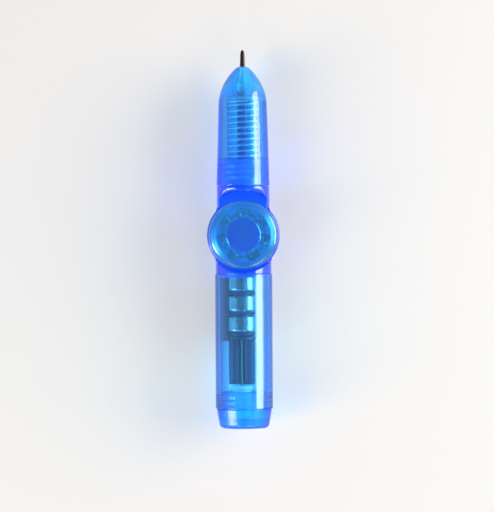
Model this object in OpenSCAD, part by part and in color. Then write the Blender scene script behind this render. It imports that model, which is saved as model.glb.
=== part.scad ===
// Fidget spinner pen, in millimetres.
// The pen lies along Y with its point at +Y. The spinner turns about Z, and the back pad's face is on Z = 0.

/* [Body] */
// From the spin axis to the joint between the hub and the nose cone
nose_joint = 13.06; // [12.8:0.02:16]
// From the spin axis to the joint between the hub and the barrel
barrel_joint = 10.3; // [10.2:0.05:12.5]
// Diameter of the hub's neck at the nose cone
front_neck_d = 14; // [13.6:0.1:14.4]
// Diameter of the hub's neck at the barrel
rear_neck_d = 14.8; // [14.4:0.1:15.2]
// Length of the barrel
barrel_length = 35.6; // [35.5:0.1:50]
// Outside diameter of the barrel
barrel_d = 15.2; // [15:0.1:16]
// Wall of the barrel
barrel_wall = 1.2; // [1.1:0.05:1.3]

/* [Hub] */
// Diameter of the round plate that holds the bearing
plate_d = 19.2; // [18.8:0.1:19.4]
// Width of the bevel round the plate's edges
plate_bevel = 0.3; // [0.1:0.05:0.6]
// Radius of the fillets between the plate and the necks
plate_fillet = 2; // [1:0.1:3]
// Diameter of the round cut that makes each flat
scoop_d = 21.4; // [20.4:0.1:21.6]
// How far that cut's centre lies from the spin axis towards the nose
scoop_shift = 0.97; // [0.9:0.01:1]
// Diameter of the spigot that the nose cone screws on
spigot_d = 10; // [9.4:0.1:10.4]
// Length of that spigot
spigot_length = 6.94; // [6.5:0.02:9]
// Diameter of the hole for the refill's back end
socket_d = 3.9; // [3.4:0.1:4.4]
// Plastic between the bearing seat and that hole
socket_wall = 1.7; // [1.2:0.1:2.2]
// Length of the ring that centres the barrel
register_length = 0.9; // [0.6:0.1:1.5]
// Inside diameter of that ring
register_bore = 11; // [10.8:0.1:11.6]

/* [Bearing] */
// Bore
bearing_bore = 6; // [5:0.5:7]
// Outside diameter
bearing_od = 17; // [16.6:0.1:17.4]
// Width, which is also the thickness of the hub's plate
bearing_width = 6; // [5:0.5:7]
// Ball diameter
ball_d = 3.5; // [3:0.1:3.9]
// Number of balls
ball_count = 7; // [7]
// Diameter of the inner race's shoulder
inner_land_d = 8.8; // [8.6:0.1:9.6]
// Diameter of the outer race's shoulder
outer_land_d = 14.2; // [13.6:0.1:14.4]
// Radial thickness of the cage
cage_wall = 0.6; // [0.4:0.05:0.9]

/* [Spinner] */
// Diameter of the pads
pad_d = 18.28; // [16:0.02:18.8]
// Thickness of a pad
pad_thickness = 4.6; // [4.6:0.1:7]
// Gap between a pad and the hub's plate
pad_gap = 0.6; // [0.3:0.05:1.2]
// Radius of a pad's outer edge
pad_face_round = 1.5; // [0.5:0.1:2]
// Radius of a pad's inner edge
pad_back_round = 0.6; // [0.3:0.1:1]
// Thickness of a spindle's flange
flange_thickness = 1.3; // [1.2:0.1:2]
// Diameter of the boss that a pad is pressed on
boss_d = 4.8; // [3.6:0.1:5.6]
// Length of that boss
boss_length = 2; // [1:0.1:2.4]
// Diameter of the pin that joins the spindles
pin_d = 2.4; // [1.6:0.1:3]
// Length of that pin
pin_length = 2.4; // [1.5:0.1:2.8]

/* [Nose cone] */
// Length of the nose cone
nose_length = 31.44; // [30:0.02:40]
// Diameter at the joint
nose_base_d = 14.1; // [13.6:0.1:14.6]
// Diameter where the rounded end begins
nose_shoulder_d = 12.9; // [12:0.1:13.6]
// Length of the rounded end
ogive_length = 10.6; // [9:0.1:13]
// Diameter of the front face
nose_front_d = 2.8; // [2.4:0.1:4]
// Diameter of the hole for the point
tip_hole_d = 1.7; // [1.6:0.05:2.2]
// Diameter of the spring's bore
spring_bore_d = 8.6; // [8.4:0.1:9.4]
// Length of the front end that the spring's bore doesn't reach
nose_solid = 8.1; // [7.5:0.1:10]

/* [Threads] */
// Pitch of both threads
thread_pitch = 1.5; // [1.4:0.05:1.8]
// Height of both threads
thread_depth = 0.35; // [0.25:0.05:0.4]
// Turns on the hub's spigot
nose_thread_turns = 3; // [2:0.5:3]
// Turns on the end cap
cap_thread_turns = 2; // [1:0.5:2]

/* [Refill] */
// Outside diameter of the ink tube
refill_d = 3.1; // [2.8:0.05:3.2]
// Wall of the ink tube
refill_wall = 0.4; // [0.25:0.05:0.5]
// Length of the point outside the nose cone
tip_reach = 4.5; // [3:0.1:5.5]
// Diameter of the point at the nose cone's face
tip_d = 1.36; // [1.2:0.02:1.4]
// Diameter of the writing ball
writing_ball_d = 0.7; // [0.5:0.05:0.8]
// Diameter of the spring's collar
collar_d = 8.2; // [7.6:0.05:8.3]
// Thickness of that collar
collar_thickness = 0.8; // [0.6:0.1:1.4]

/* [Spring] */
// Outside diameter of the coil
spring_od = 8.05; // [7.2:0.05:8.2]
// Diameter of the wire
spring_wire = 0.65; // [0.45:0.05:0.7]
// Number of turns
spring_turns = 9; // [6:1:9]

/* [Battery pack] */
// Diameter of a button cell
cell_d = 7.9; // [6.8:0.1:7.9]
// Height of a button cell
cell_height = 5.4; // [3.6:0.1:5.4]
// Number of button cells
cell_count = 3; // [3]
// Height of a cell's cap
cell_cap_height = 1.2; // [1:0.05:1.4]
// Diameter of a cell's cap
cell_cap_d = 6.6; // [5.4:0.1:6.8]
// How far the cells lie to the left of the pen's axis
pack_offset = 0.6; // [0.3:0.05:0.7]
// Height of the cradle's left wall over the pen's axis
cradle_rise = 2; // [0.5:0.1:3]
// How far the cradle's trough reaches to the right of the pen's axis
cradle_reach = 1.8; // [1.2:0.1:3]
// Thickness of the contact strip
strip_thickness = 0.25; // [0.2:0.05:0.3]
// Width of the contact strip
strip_width = 2.4; // [1.6:0.1:2.8]
// Thickness of the circuit board
board_thickness = 0.8; // [0.6:0.1:1]
// Diameter of a motion switch
switch_d = 3.3; // [2.8:0.1:3.5]
// Length of a motion switch
switch_length = 11.8; // [9:0.1:11.9]
// Distance between the two switches' axes
switch_pitch = 3.7; // [3.6:0.1:4]
// Diameter of the light's lens
led_d = 5; // [4:0.1:5]
// Diameter of the light's rim
led_rim_d = 5.8; // [5.2:0.1:6]
// Length of the light
led_length = 8.6; // [7.5:0.1:8.6]
// Diameter of a leg of the light
leg_d = 0.5; // [0.4:0.05:0.6]
// Distance between the legs
leg_pitch = 2.54; // [2.3:0.02:2.6]

/* [End cap] */
// Length of the end cap outside the barrel
cap_length = 5.06; // [4.9:0.02:8]
// Diameter at the joint
cap_joint_d = 14.6; // [14:0.1:15]
// Diameter where the rounded end begins
cap_round_d = 13.3; // [12.6:0.1:14]
// Radius of the rounded end
cap_round = 1.3; // [0.8:0.1:1.8]
// Length of the spigot in the barrel
cap_spigot_length = 4.6; // [4.5:0.1:5.2]
// Bore of the end cap
cap_bore_d = 8.8; // [8.2:0.1:9.4]
// Thickness of the closed end
cap_end_wall = 2.6; // [2.4:0.1:3]

/* [Fits] */
// Gap at the two screwed joints
seam = 0.1; // [0.05:0.01:0.2]
// Radial gap of spigots in their bores
spigot_gap = 0.1; // [0.08:0.01:0.15]
// Radial gap of pressed and seated pieces
press_gap = 0.02; // [0.01:0.01:0.03]
// Radial gap of the balls in their grooves
ball_gap = 0.03; // [0.02:0.01:0.05]
// Gap between faces that rest on each other
rest_gap = 0.02; // [0.01:0.01:0.04]

/* [Hidden] */
$fn = 96;
thread_steps = 24;
coil_steps = 8;
coil_sides = 6;
axis_height = bearing_width / 2 + pad_gap + pad_thickness;
ball_circle_d = (inner_land_d + outer_land_d) / 2;
spigot_end = nose_joint + spigot_length;
nose_back = nose_joint + seam;
nose_front = nose_back + nose_length;
seat = nose_front - nose_solid;
socket_floor = bearing_od / 2 + socket_wall;
tube_back = socket_floor + 0.8;
tube_front = seat + 2;
tube_bore_d = refill_d - 2 * refill_wall;
shank_length = 3;
plug_length = 1.6;
point_end = nose_front + tip_reach;
barrel_bore_d = barrel_d - 2 * barrel_wall;
barrel_end = barrel_joint + barrel_length;
cap_face = barrel_end + seam;
cap_spigot_d = barrel_bore_d - 2 * spigot_gap;
pocket_floor = cap_face + cap_length - cap_end_wall;
leaf_start = barrel_joint + 0.05;
cells_start = leaf_start + strip_thickness + rest_gap;
can_height = cell_height - cell_cap_height;
cells_end = cells_start + cell_count * cell_height;
board_start = cells_end + rest_gap;
board_end = board_start + board_thickness;
led_end = pocket_floor - rest_gap;
led_base = led_end - led_length;
strip_top = -cell_d / 2 - 0.65;
spring_start = spigot_end + rest_gap;
spring_end = seat - rest_gap - collar_thickness - rest_gap;
spring_r = (spring_od - spring_wire) / 2;

// Stands what is drawn along Z on the pen's axis, with +Z towards the point
module along_pen() translate([0, 0, axis_height]) rotate([-90, 0, 0]) children();

// The same, on the axis of the cells
module along_pack() translate([-pack_offset, 0, 0]) along_pen() children();

// Lifts what is drawn round the origin to the pen's axis
module on_spin() translate([0, 0, axis_height]) children();

// A block of the pack: across from the cells' axis, back from the spin axis, up from the pen's axis
module pack_block(across, back, up)
    translate([across[0] - pack_offset, -back[1], axis_height + up[0]])
        cube([across[1] - across[0], back[1] - back[0], up[1] - up[0]]);

// A tube or rod between two places on the local Z axis
module turned(outer, inner, from, to) difference() {
    translate([0, 0, from]) cylinder(d = outer, h = to - from);
    if (inner > 0) translate([0, 0, from - 1]) cylinder(d = inner, h = to - from + 2);
}

function arc(centre, radius, from, to, steps) =
    [for (i = [0:steps]) centre + radius * [cos(from + (to - from) * i / steps), sin(from + (to - from) * i / steps)]];

// Triangles of a tube made of rings of points
function tube_faces(rings, sides) = concat(
    [for (k = [1:sides - 2]) [0, k + 1, k]],
    [for (i = [0:rings - 2], j = [0:sides - 1]) each [
        [i * sides + j, i * sides + (j + 1) % sides, (i + 1) * sides + (j + 1) % sides],
        [i * sides + j, (i + 1) * sides + (j + 1) % sides, (i + 1) * sides + j]]],
    [for (k = [1:sides - 2]) (rings - 1) * sides * [1, 1, 1] + [0, k, k + 1]]);

// A right-handed screw thread of tapered section
module thread(inner_r, outer_r, base, crest, start, turns) {
    rings = floor(turns * thread_steps) + 1;
    section = [[inner_r, -base / 2], [outer_r, -crest / 2], [outer_r, crest / 2], [inner_r, base / 2]];
    polyhedron(
        points = [for (i = [0:rings - 1], p = section) [
            p[0] * cos(i * 360 / thread_steps),
            p[0] * sin(i * 360 / thread_steps),
            start + thread_pitch * i / thread_steps + p[1]]],
        faces = tube_faces(rings, 4));
}

module outer_thread(root_d, start, turns)
    thread(root_d / 2 - 0.15, root_d / 2 + thread_depth, 0.9, 0.35, start, turns);

// Cut into a bore along the same path, and on through the mouth of the bore
module inner_thread(root_d, start, turns)
    thread(root_d / 2 - 0.05, root_d / 2 + thread_depth + 0.12, 1.15, 0.6,
        start - 2 * thread_pitch, turns + 2.25);

module nose_cone() {
    shoulder = nose_front - ogive_length;
    drop = (nose_shoulder_d - nose_front_d) / 2;
    ogive_r = (ogive_length * ogive_length + drop * drop) / (2 * drop);
    ogive_angle = asin(ogive_length / ogive_r);
    rounded = arc([nose_shoulder_d / 2 - ogive_r, shoulder], ogive_r, 0, ogive_angle, 20);
    color("deepskyblue", 0.5) along_pen() difference() {
        rotate_extrude() polygon(concat(
            [[spigot_d / 2 + spigot_gap, nose_back], [nose_base_d / 2 - 0.15, nose_back]],
            [[nose_base_d / 2, nose_back + 0.15]],
            rounded,
            [[tip_hole_d / 2, nose_front], [tip_hole_d / 2, nose_front - 0.6]],
            [[refill_d / 2 + 0.2, tube_front + 1.2], [refill_d / 2 + 0.2, seat]],
            [[spring_bore_d / 2, seat], [spring_bore_d / 2, spigot_end + 0.2]],
            [[spigot_d / 2 + spigot_gap, spigot_end + 0.2]]));
        inner_thread(spigot_d, nose_joint + 1.4, nose_thread_turns);
    }
}

// Fills one corner between the plate and a neck
module plate_corner(neck_d) {
    across = neck_d / 2 + plate_fillet;
    along = sqrt(pow(plate_d / 2 + plate_fillet, 2) - across * across);
    turn = atan(along / across);
    curve = arc([across, along], plate_fillet, 180, 180 + turn, 8);
    linear_extrude(height = bearing_width, center = true)
        polygon(concat([[across - plate_fillet - 1.2, along]], curve, [0.88 * curve[8]]));
}

module hub_body() {
    half = bearing_width / 2;
    edge = plate_d / 2;
    color("royalblue") difference() {
        union() {
            along_pen() {
                turned(rear_neck_d, 0, -barrel_joint, 0);
                turned(front_neck_d, 0, -1, nose_joint);
                turned(spigot_d, 0, nose_joint - 1, spigot_end);
                outer_thread(spigot_d, nose_joint + 1.4, nose_thread_turns);
                turned(barrel_bore_d - 2 * spigot_gap, register_bore,
                    -barrel_joint - register_length, -barrel_joint + 0.3);
            }
            on_spin() {
                rotate_extrude() polygon([[0, -half], [edge - plate_bevel, -half], [edge, plate_bevel - half],
                    [edge, half - plate_bevel], [edge - plate_bevel, half], [0, half]]);
                for (side = [0, 1]) mirror([side, 0, 0]) {
                    plate_corner(front_neck_d);
                    mirror([0, 1, 0]) plate_corner(rear_neck_d);
                }
            }
        }
        on_spin() {
            for (side = [0, 1]) mirror([0, 0, side])
                translate([0, scoop_shift, half]) cylinder(d = scoop_d, h = 10);
            cylinder(d = bearing_od + 2 * press_gap, h = bearing_width + 2, center = true);
        }
        along_pen() turned(socket_d, 0, socket_floor, spigot_end + 1);
    }
}

module battery_barrel() {
    color("skyblue", 0.5) along_pen() difference() {
        rotate_extrude() polygon([
            [barrel_bore_d / 2, -barrel_end], [barrel_d / 2 - 0.15, -barrel_end],
            [barrel_d / 2, -barrel_end + 0.15], [barrel_d / 2, -barrel_joint - 0.15],
            [barrel_d / 2 - 0.15, -barrel_joint], [barrel_bore_d / 2, -barrel_joint]]);
        inner_thread(cap_spigot_d, -barrel_end + 0.9, cap_thread_turns);
    }
}

module end_cap() {
    end = -cap_face - cap_length;
    corner = arc([cap_round_d / 2 - cap_round, end + cap_round], cap_round, 0, -90, 8);
    color("deepskyblue", 0.5) along_pen() union() {
        rotate_extrude() polygon(concat(
            [[0, -pocket_floor], [0, end]],
            [for (i = [8:-1:0]) corner[i]],
            [[cap_joint_d / 2, -cap_face - 0.15], [cap_joint_d / 2 - 0.15, -cap_face]],
            [[cap_spigot_d / 2, -cap_face], [cap_spigot_d / 2, -barrel_end + cap_spigot_length - 0.3]],
            [[cap_spigot_d / 2 - 0.3, -barrel_end + cap_spigot_length]],
            [[cap_bore_d / 2, -barrel_end + cap_spigot_length], [cap_bore_d / 2, -pocket_floor]]));
        outer_thread(cap_spigot_d, -barrel_end + 0.9, cap_thread_turns);
    }
}

module pad() {
    low = bearing_width / 2 + pad_gap;
    high = low + pad_thickness;
    ledge = bearing_width / 2 + rest_gap + flange_thickness + rest_gap;
    edge = pad_d / 2;
    socket = boss_d / 2 + press_gap;
    rotate_extrude() polygon(concat(
        [[0, high]],
        arc([edge - pad_face_round, high - pad_face_round], pad_face_round, 90, 0, 8),
        arc([edge - pad_back_round, low + pad_back_round], pad_back_round, 0, -90, 6),
        [[inner_land_d / 2 + press_gap, low], [inner_land_d / 2 + press_gap, ledge]],
        [[socket, ledge], [socket, ledge + boss_length], [0, ledge + boss_length]]));
}

module front_pad() color("dodgerblue", 0.5) on_spin() pad();

module back_pad() color("dodgerblue", 0.5) on_spin() mirror([0, 0, 1]) pad();

// Stub, flange and boss, from just above the middle of the bearing
module spindle() {
    face = bearing_width / 2 + rest_gap;
    turned(bearing_bore - 2 * press_gap, 0, rest_gap, face + 0.2);
    turned(inner_land_d, 0, face, face + flange_thickness);
    turned(boss_d, 0, face + 0.2, face + flange_thickness + boss_length - 0.1);
}

module front_spindle() color("mediumblue") on_spin() {
    spindle();
    turned(pin_d, 0, -pin_length, 1);
}

module back_spindle() color("mediumblue") on_spin() difference() {
    mirror([0, 0, 1]) spindle();
    turned(pin_d + 2 * press_gap, 0, -pin_length - 0.1, 1);
}

// The ring that the balls run in
module ball_groove() rotate_extrude() translate([ball_circle_d / 2, 0]) circle(d = ball_d + 2 * ball_gap);

module bearing_outer_race() color("silver") on_spin() difference() {
    turned(bearing_od, outer_land_d, -bearing_width / 2, bearing_width / 2);
    ball_groove();
}

module bearing_inner_race() color("silver") on_spin() difference() {
    turned(inner_land_d, bearing_bore, -bearing_width / 2, bearing_width / 2);
    ball_groove();
}

module ball_place(i) on_spin() rotate([0, 0, 90 + 360 * i / ball_count]) translate([ball_circle_d / 2, 0, 0]) children();

module bearing_ball(i) color("gainsboro") ball_place(i) sphere(d = ball_d);

module bearing_cage() color("goldenrod") difference() {
    on_spin() turned(ball_circle_d + cage_wall, ball_circle_d - cage_wall, -ball_d / 2 - 0.85, 0.3);
    for (i = [1:ball_count]) ball_place(i) sphere(d = ball_d + 0.16);
}

module refill_tip() {
    bore = tube_bore_d / 2 - press_gap;
    ball_at = point_end - writing_ball_d / 2;
    color("dimgray") along_pen() difference() {
        rotate_extrude() polygon([
            [0, tube_front - shank_length], [bore, tube_front - shank_length], [bore, tube_front],
            [refill_d / 2, tube_front], [refill_d / 2, tube_front + 0.8], [1.25, tube_front + 0.9],
            [tip_d / 2, nose_front - 0.4], [tip_d / 2, nose_front + 0.6], [tip_d / 2 - 0.05, nose_front + 0.8],
            [tip_d / 2 - 0.12, point_end - 1.1], [writing_ball_d / 2 + 0.06, ball_at + 0.05], [0, ball_at + 0.05]]);
        translate([0, 0, ball_at]) sphere(d = writing_ball_d + 2 * press_gap);
    }
}

module writing_ball() color("black") along_pen()
    translate([0, 0, point_end - writing_ball_d / 2]) sphere(d = writing_ball_d);

module refill_tube() color("white", 0.6) along_pen() turned(refill_d, tube_bore_d, tube_back, tube_front - rest_gap);

module refill_ink() color("midnightblue") along_pen()
    turned(tube_bore_d - 2 * press_gap, 0, tube_back + plug_length + rest_gap, tube_front - shank_length - rest_gap);

module refill_plug() color("dimgray") along_pen() {
    turned(tube_bore_d - 2 * press_gap, 0, tube_back - 0.2, tube_back + plug_length);
    turned(refill_d, 0, tube_back - 0.4, tube_back - rest_gap);
}

module spring_collar() color("white") along_pen()
    turned(collar_d, refill_d + 2 * press_gap, seat - rest_gap - collar_thickness, seat - rest_gap);

// Centre line of the spring as angle and height: a straight end, a bend, the coil, a bend and a straight end
bend_angle = spring_wire / spring_r * 180 / PI;
coil_low = spring_start + 2 * spring_wire;
coil_high = spring_end - 2 * spring_wire;
coil_turn = 360 * spring_turns;
coil_rings = coil_steps * spring_turns;
spring_line = concat(
    [[0, spring_start], [0, spring_start + spring_wire]],
    [for (a = [30, 60]) [bend_angle * (1 - cos(a)), spring_start + spring_wire * (1 + sin(a))]],
    [for (i = [0:coil_rings]) [bend_angle + coil_turn * i / coil_rings,
        coil_low + (coil_high - coil_low) * i / coil_rings]],
    [for (a = [60, 30]) [2 * bend_angle + coil_turn - bend_angle * (1 - cos(a)),
        spring_end - spring_wire * (1 + sin(a))]],
    [[2 * bend_angle + coil_turn, spring_end - spring_wire], [2 * bend_angle + coil_turn, spring_end]]);
spring_points = [for (p = spring_line) [spring_r * cos(p[0]), spring_r * sin(p[0]), p[1]]];
spring_last = len(spring_points) - 1;
spring_gap = min([for (i = [0:spring_last - 6], j = [i + 6:spring_last])
    norm(spring_points[i] - spring_points[j])]) - spring_wire;
echo(spring_gap = spring_gap);

function unit(v) = v / norm(v);

// Direction of the wire at one ring, straight along the pen at both ends
function wire_way(i) = i < 2 || i > spring_last - 2 ? [0, 0, 1] : unit(spring_points[i + 1] - spring_points[i - 1]);

module refill_spring() {
    rings = [for (i = [0:spring_last]) let (
        out = [cos(spring_line[i][0]), sin(spring_line[i][0]), 0],
        side = unit(cross(wire_way(i), out)),
        up = cross(side, wire_way(i)))
        [for (k = [0:coil_sides - 1]) spring_points[i]
            + spring_wire / 2 * (cos(k * 360 / coil_sides) * up - sin(k * 360 / coil_sides) * side)]];
    color("silver") along_pen() polyhedron(
        points = [for (ring = rings) each ring],
        faces = tube_faces(spring_last + 1, coil_sides));
}

module button_cell(i) {
    top = -cells_start - (i - 1) * cell_height - rest_gap / 2;
    low = top - can_height;
    color("silver") along_pack() rotate_extrude() polygon([
        [0, top], [cell_d / 2 - 0.35, top], [cell_d / 2, top - 0.35], [cell_d / 2, low + 0.4],
        [cell_d / 2 - 0.3, low], [cell_cap_d / 2, low], [cell_cap_d / 2, low - 0.75],
        [cell_cap_d / 2 - 0.4, top + rest_gap - cell_height], [0, top + rest_gap - cell_height]]);
}

module cell_gasket(i) {
    low = -cells_start - (i - 1) * cell_height - rest_gap / 2 - can_height;
    color("black") along_pack()
        turned((cell_d + cell_cap_d) / 2, cell_cap_d + 2 * press_gap, low - 0.42, low - rest_gap);
}

module cell_cradle() {
    front = barrel_joint + register_length + 0.1;
    back = board_end + 0.3;
    color("midnightblue") difference() {
        along_pen() turned(barrel_bore_d - 2 * spigot_gap, 0, -back, -front);
        along_pack() turned(cell_d + 2 * spigot_gap, 0, -back - 1, -front + 1);
        translate([cradle_reach, -back - 1, axis_height - 10]) cube([10, back - front + 2, 20]);
        translate([-10, -back - 1, axis_height + cradle_rise]) cube([20, back - front + 2, 10]);
        pack_block([-strip_width / 2 - 0.15, strip_width / 2 + 0.15], [front - 1, back + 1],
            [strip_top - strip_thickness - 0.1, 0]);
    }
}

// One bent strip: a disc on the first cell, a leg under the cells and a foot behind the board
module contact_strip() color("silver") union() {
    across = [-strip_width / 2, strip_width / 2];
    low = strip_top - strip_thickness;
    foot = board_end + rest_gap;
    along_pack() turned(6.4, 0, -leaf_start - strip_thickness, -leaf_start);
    pack_block(across, [leaf_start, leaf_start + strip_thickness], [low, 0]);
    pack_block(across, [leaf_start, foot + strip_thickness], [low, strip_top]);
    pack_block(across, [foot, foot + strip_thickness], [low, -2.4]);
}

module circuit_board() color("darkgreen") along_pack() turned(cell_d, 0, -board_end, -board_start);

module motion_switch(side) color("black") along_pack() translate([side * switch_pitch / 2, 0, 0])
    rotate_extrude() polygon([
        [0, -board_end - rest_gap], [switch_d / 2, -board_end - rest_gap],
        [switch_d / 2, -board_end - switch_length + 0.3],
        [switch_d / 2 - 0.3, -board_end - switch_length], [0, -board_end - switch_length]]);

module led_lens() {
    dome = arc([0, led_d / 2 - led_end], led_d / 2, 0, -90, 10);
    color("white", 0.7) along_pack() rotate_extrude() polygon(concat(
        [[0, -led_base], [led_rim_d / 2, -led_base], [led_rim_d / 2, -led_base - 1], [led_d / 2, -led_base - 1]],
        dome));
}

module led_legs() color("silver") for (side = [-1, 1])
    along_pack() translate([0, side * leg_pitch / 2, 0]) turned(leg_d, 0, rest_gap - led_base, -board_end - rest_gap);

nose_cone();
hub_body();
battery_barrel();
end_cap();
front_pad();
back_pad();
front_spindle();
back_spindle();
bearing_outer_race();
bearing_inner_race();
bearing_cage();
for (i = [1:ball_count]) bearing_ball(i);
refill_tip();
writing_ball();
refill_tube();
refill_ink();
refill_plug();
spring_collar();
refill_spring();
for (i = [1:cell_count]) button_cell(i);
for (i = [1:cell_count]) cell_gasket(i);
cell_cradle();
contact_strip();
circuit_board();
motion_switch(-1);  // motion_switch_1
motion_switch(1);  // motion_switch_2
led_lens();
led_legs();
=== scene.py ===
import math

import bmesh
import bpy
from mathutils import Matrix, Vector


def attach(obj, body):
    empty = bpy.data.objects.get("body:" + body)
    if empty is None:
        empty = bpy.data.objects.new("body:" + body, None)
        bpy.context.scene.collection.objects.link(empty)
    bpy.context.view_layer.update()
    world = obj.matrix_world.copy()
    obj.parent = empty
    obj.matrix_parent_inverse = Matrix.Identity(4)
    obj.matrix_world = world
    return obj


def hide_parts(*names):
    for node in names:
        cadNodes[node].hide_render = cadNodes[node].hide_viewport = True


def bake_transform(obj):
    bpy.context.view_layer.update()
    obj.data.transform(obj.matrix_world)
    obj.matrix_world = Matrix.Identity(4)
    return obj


# Fidget spinner pen. Sizes are in mm unless a note says otherwise.
# The pen lies along Y with its point at +Y, the spinner turns about Z, and the back pad rests on Z = 0.
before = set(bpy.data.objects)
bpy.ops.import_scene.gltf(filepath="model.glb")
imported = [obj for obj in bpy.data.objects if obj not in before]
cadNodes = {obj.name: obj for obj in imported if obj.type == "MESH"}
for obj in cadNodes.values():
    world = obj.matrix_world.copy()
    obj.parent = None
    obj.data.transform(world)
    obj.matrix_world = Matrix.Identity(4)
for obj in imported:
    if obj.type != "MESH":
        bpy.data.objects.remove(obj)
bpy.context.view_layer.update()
mm = 0.001
penHeight = 8.2  # pen axis over the floor
packShift = -0.6  # the cells sit left of the pen axis
ease = 0.1  # short lead between a corner and the run next to it
print("frame loaded:", len(cadNodes), "nodes")


def toLinear(hexColour):
    channels = [int(hexColour[i:i + 2], 16) / 255 for i in (1, 3, 5)]
    return tuple(c / 12.92 if c <= 0.04045 else ((c + 0.055) / 1.055) ** 2.4 for c in channels) + (1.0,)


def perMetre(size):
    return 1000.0 / size  # texture scale for a feature of this many mm


def addNode(tree, kind, inputs=None, **settings):
    node = tree.nodes.new(kind)
    for key, value in settings.items():
        setattr(node, key, value)
    for key, value in (inputs or {}).items():
        if isinstance(value, bpy.types.NodeSocket):
            tree.links.new(value, node.inputs[key])
        else:
            node.inputs[key].default_value = value
    return node


def startFinish(name, sockets):
    finish = bpy.data.materials.new(name)
    finish.use_nodes = True
    tree = finish.node_tree
    shader = tree.nodes["Principled BSDF"]
    for key, value in sockets.items():
        shader.inputs[key].default_value = value
    place = addNode(tree, "ShaderNodeTexCoord").outputs["Object"]
    return finish, tree, shader, place


noiseSpan = (0.3, 0.7)  # most of a noise's values lie between these


# Shared by all finishes: roughness that wanders between two values, and a shallow relief.
# Grains are drawn at 0.2 mm or more, because finer ones wouldn't show at 0.265 mm a pixel.
def wearIn(tree, shader, place, grain, rough, relief, stretch=(1, 1, 1), bevel=0.0):
    grid = addNode(tree, "ShaderNodeMapping", {"Vector": place, "Scale": stretch})
    noise = addNode(tree, "ShaderNodeTexNoise", {
        "Vector": grid.outputs[0], "Scale": perMetre(grain), "Detail": 3.0}).outputs["Fac"]
    spread = addNode(tree, "ShaderNodeMapRange", {
        "Value": noise, "From Min": noiseSpan[0], "From Max": noiseSpan[1],
        "To Min": rough[0], "To Max": rough[1]})
    tree.links.new(spread.outputs["Result"], shader.inputs["Roughness"])
    bump = addNode(tree, "ShaderNodeBump", {"Height": noise, "Strength": 1.0, "Distance": relief * mm})
    if bevel:
        corner = addNode(tree, "ShaderNodeBevel", {"Radius": bevel * mm}, samples=6)
        tree.links.new(corner.outputs["Normal"], bump.inputs["Normal"])
        tree.links.new(corner.outputs["Normal"], shader.inputs["Coat Normal"])
    tree.links.new(bump.outputs["Normal"], shader.inputs["Normal"])
    return noise


# What all the dyed polystyrene shares
dye = {
    "ior": 1.59,
    "wave": 2.5,  # slow flow waves
    "gather": 1.15,  # the dye gathers a little in the waves
    "shadow": 0.15,  # share of the dye that a shadow takes
    "slantDyeAndShade": (0.15, 0.6),  # from a look through the wall to a look along it
    "coatRough": 0.07,
    "coatIor": 1.5,
}


# Polystyrene, injection moulded and dyed through: thin walls look cyan, thick ones deep blue.
# Lamps reach what is inside through the tinted wall, and the dye takes its share of that light too.
def dyedStyrene(name, skin, clear, tint, density, rough, relief, bevel=0.0, gloss=0.0, edge=None):
    finish, tree, shader, place = startFinish(name, {
        "IOR": dye["ior"],
        "Transmission Weight": clear,
        "Coat Weight": gloss,  # the polished mould leaves a gloss over a hazy body
        "Coat Roughness": dye["coatRough"],
        "Coat IOR": dye["coatIor"],
    })
    waves = wearIn(tree, shader, place, dye["wave"], rough, relief, bevel=bevel)
    deeper = [part ** dye["gather"] for part in toLinear(skin)]
    tone = addNode(tree, "ShaderNodeMix", {0: waves, 6: toLinear(skin), 7: deeper}, data_type="RGBA")
    if edge:
        # a look along the wall meets more dye than a look through it, and the edge colour adds painted shade
        # there; the gloss along the wall is tinted with it as a painted darker reflection
        facing = addNode(tree, "ShaderNodeLayerWeight", {"Blend": 0.5}).outputs["Facing"]
        slantDyeAndShade = addNode(tree, "ShaderNodeMapRange", {
            "Value": facing, "From Min": dye["slantDyeAndShade"][0], "From Max": dye["slantDyeAndShade"][1]}).outputs["Result"]
        tone = addNode(tree, "ShaderNodeMix", {0: slantDyeAndShade, 6: tone.outputs[2], 7: toLinear(edge)},
                       data_type="RGBA")
        paintedGlossTint = addNode(tree, "ShaderNodeMix", {0: slantDyeAndShade, 6: (1, 1, 1, 1), 7: toLinear(edge)},
                        data_type="RGBA")
        tree.links.new(paintedGlossTint.outputs[2], shader.inputs["Specular Tint"])
    tree.links.new(tone.outputs[2], shader.inputs["Base Color"])
    out = tree.nodes["Material Output"]
    ray = addNode(tree, "ShaderNodeLightPath")
    through = [part ** dye["shadow"] for part in toLinear(skin)]
    pane = addNode(tree, "ShaderNodeBsdfTransparent", {"Color": through})
    wall = addNode(tree, "ShaderNodeMixShader", {
        0: ray.outputs["Is Shadow Ray"], 1: shader.outputs[0], 2: pane.outputs[0]})
    tree.links.new(wall.outputs[0], out.inputs["Surface"])
    inside = addNode(tree, "ShaderNodeVolumeAbsorption", {"Color": toLinear(tint), "Density": density})
    tree.links.new(inside.outputs[0], out.inputs["Volume"])
    return finish


# Changes a finish's colour along the pen between two places, and gives back the share of the change
def toneAlong(finish, plan):
    tree = finish.node_tree
    base = tree.nodes["Principled BSDF"].inputs["Base Color"]
    place = addNode(tree, "ShaderNodeTexCoord").outputs["Object"]
    along = addNode(tree, "ShaderNodeSeparateXYZ", {0: place}).outputs["Y"]
    share = addNode(tree, "ShaderNodeMapRange", {
        "Value": along, "From Min": plan["start"] * mm, "From Max": plan["full"] * mm}).outputs["Result"]
    tone = addNode(tree, "ShaderNodeMix", {0: share, 6: base.links[0].from_socket, 7: toLinear(plan["skin"])},
                   data_type="RGBA")
    tree.links.new(tone.outputs[2], base)
    return share


# Each edge colour is partly the dye met along a wall and partly painted shade, and it tints the gloss there
# as a painted reflection
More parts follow.
